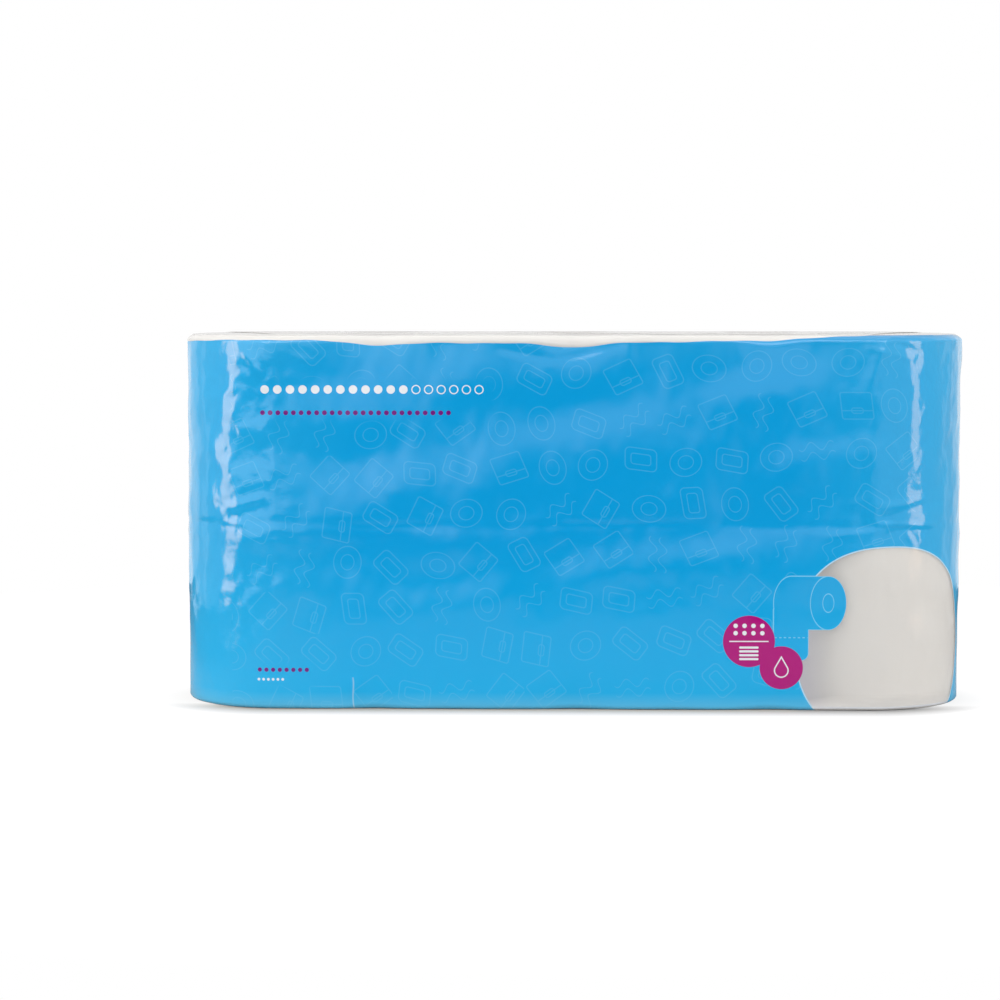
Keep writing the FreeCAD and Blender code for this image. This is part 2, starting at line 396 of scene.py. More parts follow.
# %% How round each edge is
def edge_reach(s, size):
    """How far the folded edge is rounded off: more at a valley, where no rim holds it out."""
    wobble = 0.2 * mm * wander(s, 1, 9 * mm) * wander(s, 1, 23 * mm, 1)
    return size * (1 + 0.9 * at_valleys(s, 15 * mm)) + wobble


def layer_of(s):
    """How deep a flap lies in the stack of layers: rear 0, front 1, tucked ends 2."""
    _, outward = oval(s)
    sideways, forwards = np.abs(outward[..., 0]), -outward[..., 1]
    tucked = ease((sideways - np.abs(forwards)) * 6 + 0.5)
    return 2 * tucked + (1 - tucked) * ease(forwards * 6 + 0.5)


def lap_lift(s):
    """The last stretch of the tube lies on the first, a step further out."""
    return lap_step * ease((s - ring_end + lap_width) / (1.5 * mm))


# %% The wall and its two edges
corner_steps = 7
layer_step = 0.14 * mm


def corner_shares(power):
    """Two shares that trade places round a corner: each to the given power, they add up to one."""
    angles = np.linspace(0, math.pi / 2, corner_steps)[1:]
    return np.cos(angles) ** (2 / power), np.sin(angles) ** (2 / power)


def turned_edge(last_out, reach, power):
    """Rows that turn from upright to flat: how far out and how far over each one lies."""
    bend, rise = (share[:, None] for share in corner_shares(power))
    out = last_out * (1 - rise) + lap_lift(ring) * rise - reach * (1 - bend)
    return out, (reach - layer_of(ring) * layer_step) * rise


# %% Build the wall
def wall_grid():
    """The wall's points as one array, rows of (x, y, z), and the height of each."""
    top, bottom = edge_reach(ring, top_edge), edge_reach(ring, bottom_edge)
    heights = bottom + (film_height - top - bottom) * share_up[:, None]
    s = np.broadcast_to(ring, heights.shape)
    out = relief(s, heights) + lap_lift(s)
    top_out, top_over = turned_edge(out[-1], top, top_power)
    bottom_out, bottom_over = turned_edge(out[0], bottom, bottom_power)
    z = np.vstack([(bottom - bottom_over)[::-1], heights, film_height - top + top_over])
    out = np.vstack([bottom_out[::-1], out, top_out])
    place, outward = oval(ring)
    flat = place + outward * out[..., None]
    return np.concatenate([flat, z[..., None]], -1), z


wall, wall_z = wall_grid()
rows, columns = wall.shape[:2]
wall_index = np.arange(rows * columns).reshape(rows, columns)
print("wall rows and columns:", wall.shape[:2])

# %% [markdown]
# ### The flaps
# Each flap is a sheet between its stretch of the ring and a straight free edge. Where nothing is
# below it, over a core's hole or a valley, it sags a little, and small folds fan out from the places
# where it was drawn in.

# %% Flap shapes
flap_lap, tuck_depth = 15 * mm, 15 * mm
flap_steps = 20


def sag(x, y):
    """How far the clear film hangs in: over each core's hole and between the rolls."""
    hole = sum(bell(np.hypot(x - axis, y) / (17 * mm)) for axis in roll_axes)
    gaps = sum(bell(np.hypot(x - v, np.abs(y) - 40 * mm) / (16 * mm)) for v in valleys)
    return 0.9 * mm * hole + 1.3 * mm * gaps


def flap(edge_row, first, last, corner_a, corner_b, layer, seed):
    """New points of a flap, from the ring points first to last towards the edge a to b.

    A point is its ring point moved straight towards its own place on the free edge, t of the way.
    The sag and the ripples depend only on the place, so that the layers never cross.
    """
    span = ring[first:last + 1]
    share = (span - span[0]) / (span[-1] - span[0])
    goal = np.outer(1 - share, corner_a) + np.outer(share, corner_b)
    start = wall[edge_row, first:last + 1, :2]
    t = np.linspace(0, 1, flap_steps + 1)[1:, None, None]
    flat = start + (goal - start) * t
    x, y = flat[..., 0], flat[..., 1]
    gone = np.hypot(x - start[:, 0], y - start[:, 1])
    settle = ease(gone / (9 * mm))
    level = layer_of(span) * (1 - settle) + layer * settle
    inset = film_half - np.hypot(np.clip(np.abs(x) - end_x, 0, None), y)
    ripple = waves(x, y, 8, 40 * mm, 14 * mm, 0.05 * mm, seed) + fans(x, y, seed)
    ripple *= ease((inset - 6 * mm) / (24 * mm))
    z = film_height - level * layer_step - sag(x, y) * ease((inset - 2 * mm) / (9 * mm)) + ripple
    return np.stack([x, y, z], -1), gone


def fans(x, y, seed):
    """Shallow folds that fan from each end's centre and from the valleys' notches."""
    random = np.random.default_rng(seed)
    total = np.zeros_like(x)
    sources = [(side * end_x, 0) for side in (-1, 1)]
    sources += [(v, side * film_half) for v in valleys for side in (-1, 1)]
    for cx, cy in sources:
        far = np.hypot(x - cx, y - cy)
        heading = np.arctan2(y - cy, x - cx)
        phase = random.uniform(0, 2 * math.pi)
        fold = np.sin(9 * heading + phase) + 0.4 * np.sin(17 * heading - phase)
        total += 0.08 * mm * fold * bell(far / (34 * mm)) * ease(far / (12 * mm))
    return total


# %% Fold the closures
def column_at(s):
    """The ring's point nearest to the distance s."""
    return int(np.argmin(np.abs(ring - s)))


rear_left, front_left = column_at(-end_x - half_turn + diagonal), column_at(-end_x - diagonal)
front_right, rear_right = column_at(end_x + diagonal), column_at(end_x + half_turn - diagonal)
corner = end_x - tuck_depth
far_left, far_right = (-corner, flap_lap), (corner, flap_lap)
near_left, near_right = (-corner, -flap_lap), (corner, -flap_lap)
seam_near, seam_past = (lap_start, -flap_lap), (lap_start - lap_width, -flap_lap)
flap_plans = {
    "left tuck": (rear_left, front_left, far_left, near_left, 2),
    "right tuck": (front_right, rear_right, near_right, far_right, 2),
    "front": (front_left, front_right, far_left, far_right, 1.2),
    "rear, before the seam": (0, rear_left, seam_near, near_left, 0.5),
    "rear, after the seam": (rear_right, len(ring) - 1, near_right, seam_past, 0),
}


def quads(index):
    """Faces of a grid of point numbers: each point, its neighbour, and the two in the next row."""
    return np.stack([index[:-1, :-1], index[:-1, 1:], index[1:, 1:], index[1:, :-1]], -1).reshape(-1, 4)


points = [wall.reshape(-1, 3)]
faces = [quads(wall_index)]
spread = [np.stack([np.broadcast_to(ring, wall_z.shape), wall_z], -1).reshape(-1, 2)]
for first, last, corner_a, corner_b, layer in flap_plans.values():
    for upper in (True, False):
        edge_row = -1 if upper else 0
        new, gone = flap(edge_row, first, last, corner_a, corner_b, layer, 50 if upper else 40)
        if not upper:
            new[..., 2] = film_height - new[..., 2]
        start = sum(len(part) for part in points)
        new_index = start + np.arange(new[..., 0].size).reshape(new.shape[:2])
        index = np.vstack([wall_index[edge_row, first:last + 1][None], new_index])
        faces.append(quads(index) if upper else quads(index)[:, ::-1])
        points.append(new.reshape(-1, 3))
        height = film_height + gone if upper else -gone
        s = np.broadcast_to(ring[first:last + 1], gone.shape)
        spread.append(np.stack([s, height], -1).reshape(-1, 2))
points, faces, spread = np.concatenate(points), np.concatenate(faces), np.concatenate(spread)
points[:, 2] = np.maximum(points[:, 2], 0.05 * mm)
print("flaps above and below:", "; ".join(flap_plans))
print("film:", len(points), "points,", len(faces) * 2, "triangles")

# %% [markdown]
# ### Putting arrays into a mesh
# `from_pydata` takes the points and faces as they are, and `foreach_set` writes the unrolled place of
# each point into a UV map, one unit to the metre, so that the print can be drawn in real sizes.

# %% Arrays to a mesh
uv_shift = np.array([0.5, 0.1])


def make_piece(name, points, faces, material, replaced, uv=None):
    """A smooth mesh object from arrays, riding on the frame's body and standing for its nodes."""
    mesh = bpy.data.meshes.new(name)
    mesh.from_pydata(points.tolist(), [], faces.tolist())
    mesh.polygons.foreach_set("use_smooth", np.ones(len(mesh.polygons), bool))
    if uv is not None:
        corners = np.zeros(len(mesh.loops), np.int32)
        mesh.loops.foreach_get("vertex_index", corners)
        layer = mesh.uv_layers.new(name="unrolled")
        layer.data.foreach_set("uv", uv[corners].ravel().astype(np.float32))
    mesh.materials.append(material)
    mesh.validate()
    piece = bpy.data.objects.new(name, mesh)
    bpy.context.scene.collection.objects.link(piece)
    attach(piece, "root")
    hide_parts(*replaced)
    return piece


# %% [markdown]
# ## Writing a print as arithmetic
# Shader nodes do arithmetic on a value at every point of a surface. Wiring forty of them by hand is
# hard to read, so this small class lets an ordinary Python sum add the nodes. A shape is then written
# as its distance: negative inside, positive outside, and nought on its outline.

# %% A field of values
class Field:
    """A value at every point of the surface. Sums and products of fields add Math nodes."""

    def __init__(self, tree, socket):
        self.tree, self.socket = tree, socket

    def math(self, operation, *others):
        node = self.tree.nodes.new("ShaderNodeMath")
        node.operation = operation
        for slot, value in zip(node.inputs, (self,) + others):
            if isinstance(value, Field):
                self.tree.links.new(value.socket, slot)
            else:
                slot.default_value = value
        return Field(self.tree, node.outputs[0])

    def __add__(self, other):
        return self.math("ADD", other)

    def __sub__(self, other):
        return self.math("SUBTRACT", other)

    def __mul__(self, other):
        return self.math("MULTIPLY", other)

    def __truediv__(self, other):
        return self.math("DIVIDE", other)

    def __neg__(self):
        return self.math("MULTIPLY", -1.0)

    def __abs__(self):
        return self.math("ABSOLUTE")

    def low(self, other):
        return self.math("MINIMUM", other)

    def high(self, other):
        return self.math("MAXIMUM", other)

    def rest(self):
        """What is left of one."""
        return -self + 1.0

    def climb(self, start, width):
        """Nought below start, one above start plus width, and straight between."""
        return ((self - start) / width).high(0.0).low(1.0)

    def inside(self, soft):
        """One where the distance is negative, nought outside, over a width of soft."""
        node = self.tree.nodes.new("ShaderNodeMapRange")
        node.interpolation_type = "SMOOTHSTEP"
        self.tree.links.new(self.socket, node.inputs["Value"])
        node.inputs["From Min"].default_value = soft / 2
        node.inputs["From Max"].default_value = -soft / 2
        return Field(self.tree, node.outputs["Result"])


# %% Shapes as distances
def length(u, v):
    """The distance of (u, v) from nought: the square root of u squared plus v squared."""
    return (u * u + v * v).math("SQRT")


def disc(u, v, centre, radius):
    """Distance to a disc's outline."""
    return length(u - centre[0], v - centre[1]) - radius


def bar(u, v, centre, half_long, half_high, rounding):
    """Distance to a rounded bar: the length beyond its inner corner, or the nearer side inside it."""
    du = abs(u - centre[0]) - (half_long - rounding)
    dv = abs(v - centre[1]) - (half_high - rounding)
    return length(du.high(0.0), dv.high(0.0)) + du.high(dv).low(0.0) - rounding


def outline(distance, half_width):
    """A line that follows the outline of a shape."""
    return abs(distance) - half_width


def together(*shapes):
    """Several shapes as one: the least of their distances."""
    return functools.reduce(Field.low, shapes)


def paint(red, green, blue):
    """A colour written in 0 to 255, as the light that the shader wants."""
    share = np.array([red, green, blue]) / 255
    light = np.where(share <= 0.04045, share / 12.92, ((share + 0.055) / 1.055) ** 2.4)
    return tuple(float(value) for value in light)


# %% Small node helpers
def new_material(name):
    """A material with its node tree and its main shader."""
    material = bpy.data.materials.new(name)
    material.use_nodes = True
    return material, material.node_tree, material.node_tree.nodes["Principled BSDF"]


def parts_of(tree, vector):
    """The three parts of a vector as fields."""
    node = tree.nodes.new("ShaderNodeSeparateXYZ")
    tree.links.new(vector, node.inputs["Vector"])
    return tuple(Field(tree, node.outputs[axis]) for axis in "XYZ")


def object_place(tree):
    """The place on the object, in metres from its origin."""
    return tree.nodes.new("ShaderNodeTexCoord").outputs["Object"]


def blend_colour(tree, share, low, high):
    """Mixes two colours by a share; each is a tuple or the output of another mix."""
    node = tree.nodes.new("ShaderNodeMix")
    node.data_type = "RGBA"
    tree.links.new(share.socket, node.inputs["Factor"])
    for slot, colour in ((node.inputs[6], low), (node.inputs[7], high)):
        if isinstance(colour, tuple):
            slot.default_value = (*colour, 1)
        else:
            tree.links.new(colour, slot)
    return node.outputs[2]


def lay_colours(tree, colour, layers):
    """Lays colours over one another: layers are (share, colour), the lowest first."""
    for share, next_colour in layers:
        colour = blend_colour(tree, share, colour, next_colour)
    return colour


def noise(tree, vector, scale, detail=2.0, stretch=(1, 1, 1)):
    """Smooth noise from 0 to 1 at so many lumps a metre, stretched along an axis if asked."""
    mapping = tree.nodes.new("ShaderNodeMapping")
    mapping.inputs["Scale"].default_value = stretch
    tree.links.new(vector, mapping.inputs["Vector"])
    node = tree.nodes.new("ShaderNodeTexNoise")
    node.inputs["Scale"].default_value = scale
    node.inputs["Detail"].default_value = detail
    tree.links.new(mapping.outputs["Vector"], node.inputs["Vector"])
    return Field(tree, node.outputs["Fac"])


def bump(tree, shader, height, distance, strength=1.0):
    """Feeds a height field to the shader as bump; distance is what a height of one is in metres."""
    node = tree.nodes.new("ShaderNodeBump")
    node.inputs["Strength"].default_value = strength
    node.inputs["Distance"].default_value = distance
    tree.links.new(height.socket, node.inputs["Height"])
    tree.links.new(node.outputs["Normal"], shader.inputs["Normal"])


# %% [markdown]
# ## The printed film
# The ink is a strong blue with faint line figures, rows of dots, two magenta discs with plain marks,
# a clear window with a thin light rim, and a small drawing of a roll. A picture laid over the film
# would be quicker, but distances stay sharp however near one looks, and every line keeps its real
# width. Everything is placed in millimetres on the unrolled film. Where there is no ink the film is
# clear, so its alpha falls and the paper behind it shows.

# %% Inks
blue = paint(0, 161, 226)
floor_bounce_blue = paint(0, 181, 237)
edge_light_blue = paint(96, 190, 232)
tone_and_sheen_blue = paint(60, 187, 236)
line_blue = paint(120, 205, 242)
pale_line = paint(186, 224, 244)
magenta = paint(180, 0, 122)
purple = paint(118, 14, 124)
edge_shade_blue = paint(0, 124, 186)
window_shade_colour = paint(222, 218, 228)
white_ink = paint(238, 240, 244)
clear_film = paint(240, 237, 233)
print("the blue as light:", [round(part, 3) for part in blue])

# %% Where things are printed
window_centre = (166 * mm, 35 * mm)
window_half = (51 * mm, 50 * mm)
window_powers = (2.4, 2.15)
disc_large = ((91.2 * mm, 36 * mm), 13.4 * mm)
disc_small = ((108 * mm, 22.3 * mm), 11.2 * mm)
print_top = [
    (-250, 5.0), (-235, 4.6), (-190, 3.1), (-150, 2.6), (-60, 4.1), (0, 4.0), (60, 3.4), (120, 1.6),
    (160, -0.3), (190, -1.2), (206, -0.8), (232, 3.4), (250, 5.0),
]
valley_pulls = ((1.9, 20), (2.3, 18), (0.6, 14))
soft_edge, soft_line = 0.25 * mm, 0.2 * mm
print(f"window {2 * window_half[0] / mm:.0f} mm wide")

# %% Read the unrolled film
film_material, tree, shader = new_material("printed_film")
uv_node = tree.nodes.new("ShaderNodeUVMap")
uv_node.uv_map = "unrolled"
uv_u, uv_v, _ = parts_of(tree, uv_node.outputs["UV"])
u, v = uv_u - float(uv_shift[0]), uv_v - float(uv_shift[1])
discs = disc(u, v, *disc_large).low(disc(u, v, *disc_small))

# %% Where the blue ends above and below
def curve_of(tree, field, stops, span, most):
    """A smooth curve through (place, value) stops in millimetres, for fields from -span to span.

    A Float Curve works from 0 to 1, so places and values, up to most, are squeezed into that.
    """
    node = tree.nodes.new("ShaderNodeFloatCurve")
    curve = node.mapping.curves[0]
    places, values = (np.array(stops) * mm).T
    places, values = places / (2 * span) + 0.5, values / (2 * most) + 0.5
    curve.points[0].location = (places[0], values[0])
    curve.points[1].location = (places[-1], values[-1])
    for place, value in zip(places[1:-1], values[1:-1]):
        curve.points.new(place, value)
    node.mapping.update()
    tree.links.new(field.climb(-span, 2 * span).socket, node.inputs["Value"])
    return (Field(tree, node.outputs["Value"]) - 0.5) * (2 * most)


margin = curve_of(tree, u, print_top, 250 * mm, 5 * mm)
ragged = (u / (5 * mm)).math("SINE") * (u / (13 * mm)).math("SINE") * (0.25 * mm)
top_line = v - film_height + margin + ragged
for x, (pull, width) in zip(valleys, valley_pulls):
    across = (u - x) / (width * mm)
    top_line = top_line + (-(across * across)).math("EXPONENT") * (pull * mm)
bottom_line = -(v + 1.0 * mm)
printed = top_line.high(bottom_line).inside(soft_edge)

# %% The window
def window_distance(u, v):
    """A rounded dome: |u/a| and |v/b| to a power, summed, taken back to a length.

    The power is lower on the right of the centre, where the dome is rounder.
    """
    to_right = (u - window_centre[0]).math("GREATER_THAN", 0.0)
    power = to_right * (window_powers[1] - window_powers[0]) + window_powers[0]
    across = (abs(u - window_centre[0]) / window_half[0]).math("POWER", power)
    upward = (abs(v - window_centre[1]) / window_half[1]).math("POWER", power)
    return ((across + upward).math("POWER", power.math("POWER", -1.0)) - 1.0) * window_half[0]


window = window_distance(u, v)

# %% The drawing of a roll
face_centre, face_radius, face_narrow = (132 * mm, 56 * mm), 14 * mm, 0.66
hole_radius, hole_narrow = 4.8 * mm, 0.6
body_long = 19 * mm
sheet_half, sheet_rounding = (9.1 * mm, 15 * mm), 4.0 * mm
body_centre = (face_centre[0] - body_long / 2, face_centre[1])
back_centre = (face_centre[0] - body_long, face_centre[1])
sheet_centre = (body_centre[0] - 9.64 * mm, face_centre[1] - sheet_half[1])


def oval_disc(u, v, centre, radius, narrow):
    """Distance to an upright oval, near enough: a disc's, with the way across over narrow."""
    return length((u - centre[0]) / narrow, v - centre[1]) - radius


face = oval_disc(u, v, face_centre, face_radius, face_narrow)
hole = oval_disc(u, v, face_centre, hole_radius, hole_narrow)
back = oval_disc(u, v, back_centre, face_radius, face_narrow)
body = bar(u, v, body_centre, body_long / 2, face_radius, 0.1 * mm)
hanging = bar(u, v, sheet_centre, *sheet_half, sheet_rounding)
drawing = together(body, back, face, hanging)
clear = window.high(-drawing).high(-discs).inside(soft_edge)
foot_line = outline(v - 1.6 * mm, 0.5 * mm).high(window)
rim_line = outline(window, 0.33 * mm).low(foot_line).high(-drawing)
perforation = outline(v - sheet_centre[1] + 3 * mm, 0.25 * mm)
dashes = (u * (2 * math.pi / (2.4 * mm))).math("SINE") * (1 * mm)
perforation = perforation.high(dashes).high(hanging + 0.5 * mm)
drawn_line = 0.30 * mm
lines = together(outline(drawing, drawn_line), outline(face, drawn_line), outline(hole, 0.28 * mm))
lines = lines.low(perforation)

# %% Faint figures over the blue
cell_size = 23 * mm
row_slant, column_slant = 0.18, 0.05
figure_size, figures_end = 1.15, 178 * mm
bold, fine = 0.22 * mm, 0.2 * mm


def rings(u, v):
    """Two outlines round one another, a little narrower than high."""
    far = length(u / 0.8, v)
    return outline(far - 7.5 * mm, bold).low(outline(far - 3.6 * mm, fine))


def boxes(u, v):
    """A box, a line for its lid and an opening across that line."""
    box = bar(u, v, (0, 0), 7 * mm, 6 * mm, 1.0 * mm)
    lid = outline(v - 2.2 * mm, fine).high(box)
    opening = bar(u, v, (0, 2.2 * mm), 2.6 * mm, 1.2 * mm, 1.1 * mm)
    return together(outline(box, bold), lid, outline(opening, fine))


def tiles(u, v):
    """Two rounded outlines, one inside the other."""
    outer = bar(u, v, (0, 0), 7 * mm, 5 * mm, 2.2 * mm)
    inner = bar(u, v, (0, 0), 4.4 * mm, 2.4 * mm, 1.2 * mm)
    return outline(outer, bold).low(outline(inner, fine))


def ripples(u, v):
    """Two wavy lines, one above the other: the sine of 700 times u is a wave every 9 mm."""
    wave = abs(v + (u * 700).math("SINE") * (1.8 * mm))
    return outline(wave - 2.2 * mm, bold).high(abs(u) - 8 * mm)


# %% One figure in each cell of a slanted grid
grid_u = u / cell_size + v / cell_size * row_slant
grid_v = v / cell_size - u / cell_size * column_slant
cell_u, cell_v = grid_u.math("FLOOR"), grid_v.math("FLOOR")
joined = tree.nodes.new("ShaderNodeCombineXYZ")
tree.links.new(cell_u.socket, joined.inputs["X"])
tree.links.new(cell_v.socket, joined.inputs["Y"])
pick = tree.nodes.new("ShaderNodeTexWhiteNoise")
pick.noise_dimensions = "2D"
tree.links.new(joined.outputs["Vector"], pick.inputs["Vector"])
chance = Field(tree, pick.outputs["Value"])
spin, nudge_u, nudge_v = parts_of(tree, pick.outputs["Color"])
square_u = (grid_u - cell_u - 0.5) * cell_size + (nudge_u - 0.5) * (4 * mm)
square_v = (grid_v - cell_v - 0.5) * cell_size + (nudge_v - 0.5) * (4 * mm)
cosine, sine = (spin * (2 * math.pi)).math("COSINE"), (spin * (2 * math.pi)).math("SINE")
local_u = (square_u * cosine - square_v * sine) / figure_size
local_v = (square_u * sine + square_v * cosine) / figure_size
figure = ripples(local_u, local_v)
for motif, most in ((tiles, 0.78), (boxes, 0.52), (rings, 0.28)):
    figure = figure + (motif(local_u, local_v) - figure) * chance.math("LESS_THAN", most)
rows_above = bar(u, v, (-104 * mm, 161 * mm), 64 * mm, 12 * mm, 3 * mm)
rows_below = bar(u, v, (-151 * mm, 18 * mm), 18 * mm, 7 * mm, 3 * mm)
taken = together(drawing, window, discs)
figures = figure.high(-taken).high(abs(u) - figures_end).inside(0.45 * mm)
figures = figures * rows_above.low(rows_below).inside(6 * mm).rest()
print(f"figures every {cell_size / mm:.0f} mm")

# %% Marks inside the discs
from_u, from_v = u - disc_large[0][0], v - disc_large[0][1]
rule = 0.28 * mm
divider = bar(from_u, from_v, (0, 0), 10.2 * mm, rule, rule)
dot_step, dot_radius = 4.6 * mm, 1.15 * mm
dot_u = abs(abs(from_u) - dot_step) - dot_step / 2
dots = length(dot_u, abs(from_v - 6.2 * mm) - 1.9 * mm) - dot_radius
bar_drops = (3.2, 5.2, 7.2, 9.2)
bars = [bar(from_u, from_v, (0, -drop * mm), 5 * mm, 0.55 * mm, 0.5 * mm) for drop in bar_drops]
drop_radius, half_angle = 3.5 * mm, math.pi / 6
drop_u, drop_v = abs(u - disc_small[0][0]), v - disc_small[0][1] + 1.4 * mm
cone = drop_u * math.cos(half_angle) + (drop_v - 2 * drop_radius) * math.sin(half_angle)
cone = cone.high(-drop_v + drop_radius * math.sin(half_angle))
drop = (length(drop_u, drop_v) - drop_radius).low(cone)
marks = together(divider, dots, *bars, outline(drop, 0.32 * mm))

# %% Rows of dots
def row_of(start, end, level, step, radius):
    """A row of equal discs, in millimetres, from start to end at one level.

    The distance along is folded back every step, and what lies past the ends is cut off.
    """
    along = (u - start * mm) / (step * mm)
    folded = (along - along.math("FLOOR") - 0.5) * (step * mm)
    past_ends = abs(u - (start + end) / 2 * mm) - (end - start) / 2 * mm
    return (length(folded, v - level * mm) - radius * mm).high(past_ends)


bold_row = row_of(-162, -84, 166, 6.5, 2.2)
light_row = outline(row_of(-84, -45, 166, 6.5, 2.1), 0.28 * mm)
small_row = row_of(-164, -149, 15.5, 2.5, 0.7)
purple_rows = row_of(-162, -62, 154, 4, 1.25).low(row_of(-164, -136, 20.5, 3.5, 1.1))
white_area = together(marks, bold_row, light_row, small_row, foot_line)

# %% Shades of the blue
# Each share says how much of the next ink shows. Painted light makes the blue paler low down and
# along both edges, painted sheen makes it paler towards the ends, it is cloudy at random, and
# painted shade makes it deeper where it turns over the top edge.
coordinates = object_place(tree)
# Random cloudy tone, and painted sheen that makes the blue paler towards the ends.
end_sheen_ramp = ((abs(u) - 110 * mm) / (110 * mm)).high(0.0)
tone_and_end_sheen = (noise(tree, coordinates, 9, 2) * 0.10 + end_sheen_ramp * 0.55).low(1.0)
# Painted light: the blue is paler low down, as if lit by light thrown back from the white table.
painted_floor_bounce = v.climb(0.0, 90 * mm).rest() * 0.9
# Painted light: the blue is paler along the bottom edge, where the film mirrors the white table, and a
# little paler below the top edge.
painted_edge_light = v.climb(0.0, 9 * mm).rest() * 0.9
painted_edge_light = painted_edge_light + (-(v - film_height)).climb(0.0, 18 * mm).rest() * 0.12
# Painted shade: the blue is darker where the film turns over the top edge.
painted_edge_shade = v.climb(film_height - 3.5 * mm, 3.5 * mm) * 0.65
# A pale wavy streak is drawn along the crease low on the left.
bent_u = u + (v / (3 * mm)).math("SINE") * (0.35 * mm) + v * 0.05
pale_crease_streak = bar(bent_u, v, (-113.2 * mm, 8.5 * mm), 0.2 * mm, 8 * mm, 0.2 * mm)
rim_share = rim_line.inside(soft_line)
ink_colour = lay_colours(tree, blue, [
    (painted_floor_bounce, floor_bounce_blue),
    (tone_and_end_sheen, tone_and_sheen_blue),
    (painted_edge_light, edge_light_blue),
    (painted_edge_shade, edge_shade_blue),
    (figures * 0.25, line_blue),
    (pale_crease_streak.inside(0.9 * mm) * 0.5, white_ink),
    (lines.inside(soft_line), line_blue),
    (rim_share, pale_line),
    (discs.inside(soft_edge), magenta),
    (purple_rows.inside(soft_edge), purple),
    (white_area.inside(soft_edge), white_ink),
])

# %% Ink over clear film
clear_alpha = 0.42
ink = printed * (clear * rim_share.rest()).rest()
# Painted shade: left of the window and low down the clear film is a bluish grey and more opaque, for
# the ink's blue shadow on the paper behind.
window_shade_share = u.climb(112 * mm, 22 * mm).rest() * v.climb(66 * mm, 10 * mm).rest()
colour = lay_colours(tree, clear_film, [(window_shade_share, window_shade_colour), (ink, ink_colour)])
tree.links.new(colour, shader.inputs["Base Color"])
glance = tree.nodes.new("ShaderNodeLayerWeight")
grazing = Field(tree, glance.outputs["Facing"]).math("POWER", 3.5)
past_edge = abs(v - film_height / 2) - film_height / 2
doubled = abs(past_edge - 1 * mm).climb(3 * mm, 6 * mm).rest() * 0.85
cloudy = grazing.high(doubled).high(window_shade_share * 0.5)
clear_cover = cloudy * (1 - clear_alpha) + clear_alpha
alpha = ink + clear_cover - ink * clear_cover
tree.links.new(alpha.socket, shader.inputs["Alpha"])
shader.inputs["Roughness"].default_value = 0.11
shader.inputs["IOR"].default_value = 1.5
wrinkles = noise(tree, coordinates, 210, 3, (1, 1, 0.6)) * 0.8 + noise(tree, coordinates, 620, 2) * 0.2
at_ends = abs(u).climb(0.85 * end_x, end_blend) * 0.85 + 0.15
bump(tree, shader, wrinkles * at_ends, 0.15 * mm)
print("printed film:", len(tree.nodes), "nodes")

# %% Make the film
film = make_piece("film", points, faces, film_material, ["film_wrap"], spread + uv_shift)

# %% [markdown]
# ## The rolls
# A roll is a turned shape: one profile, from the bore over the end, round the rim, up the side and
# back. Carrying that profile round the axis gives the whole roll, and a small term in the angle gives
# it the loose turns, the soft rim and the step where the last sheet ends.

# %% Paper
paper_material, tree, shader = new_material("tissue_paper")
coordinates = object_place(tree)
object_x, local_y, local_z = parts_of(tree, coordinates)
pitch = roll_axes[1] - roll_axes[0]
x_rolls = object_x / pitch
local_x = (x_rolls - x_rolls.math("FLOOR") - 0.5) * pitch
turn = local_y.math("ARCTAN2", local_x)
radius = length(local_x, local_y)
dot_size, turn_gap = 3.2 * mm, 0.55 * mm
emboss_u = (turn * round(2 * math.pi * roll_radius / dot_size)).math("SINE")
emboss_v = (local_z * (2 * math.pi / dot_size)).math("SINE")
emboss = (emboss_u * emboss_v).high(0.35)
turns = (radius * (2 * math.pi / turn_gap) + turn).math("SINE")
on_end = radius.math("LESS_THAN", roll_radius - 2.6 * mm)
fibres = noise(tree, coordinates, 900, 3)
paper_height = emboss * 0.7 * on_end.rest() + turns * 0.5 * on_end + fibres * 0.5
mottle = noise(tree, coordinates, 60, 2)
colour = blend_colour(tree, mottle, paint(233, 229, 224), paint(245, 242, 237))
tree.links.new(colour, shader.inputs["Base Color"])
shader.inputs["Roughness"].default_value = 0.95
shader.inputs["Specular IOR Level"].default_value = 0.2
bump(tree, shader, paper_height, 0.12 * mm, 0.8)

# %% Turn the profile
core_low, core_high = core_boxes[core_names[0]]
core_radius = (core_high.x - core_low.x) / 2
bore_radius = core_radius + 0.15 * mm
rim_power = 1.5
angle_steps = 144


def roll_profile():
    """Radius and height along the paper, from the bore's lower mouth round to its upper mouth."""
    mouth = np.array([(bore_radius, 1.8 * mm), (bore_radius + 0.6 * mm, 0.5 * mm)])
    radii = np.linspace(bore_radius + 2 * mm, roll_radius - rim_round, 16)
    end = np.stack([radii, np.full(len(radii), 0.1 * mm)], -1)
    bend, rise = corner_shares(rim_power)
    turned = np.stack([roll_radius - rim_round * (1 - rise), rim_round * (1 - bend)], -1)
    lower = np.concatenate([mouth, end, turned])
    up = np.linspace(rim_round, roll_height - rim_round, 26)[1:-1]
    side = np.stack([np.full(len(up), roll_radius), up], -1)
    upper = lower[::-1] * [1, -1] + [0, roll_height]
    return np.concatenate([lower, side, upper])


def carried_round(axis, radius, height, angles):
    """Points at a radius and an angle round an upright axis: x is the axis plus r cos, y is r sin."""
    radius, height = np.broadcast_arrays(radius, height)
    return np.stack([axis + radius * np.cos(angles), radius * np.sin(angles), height], -1)


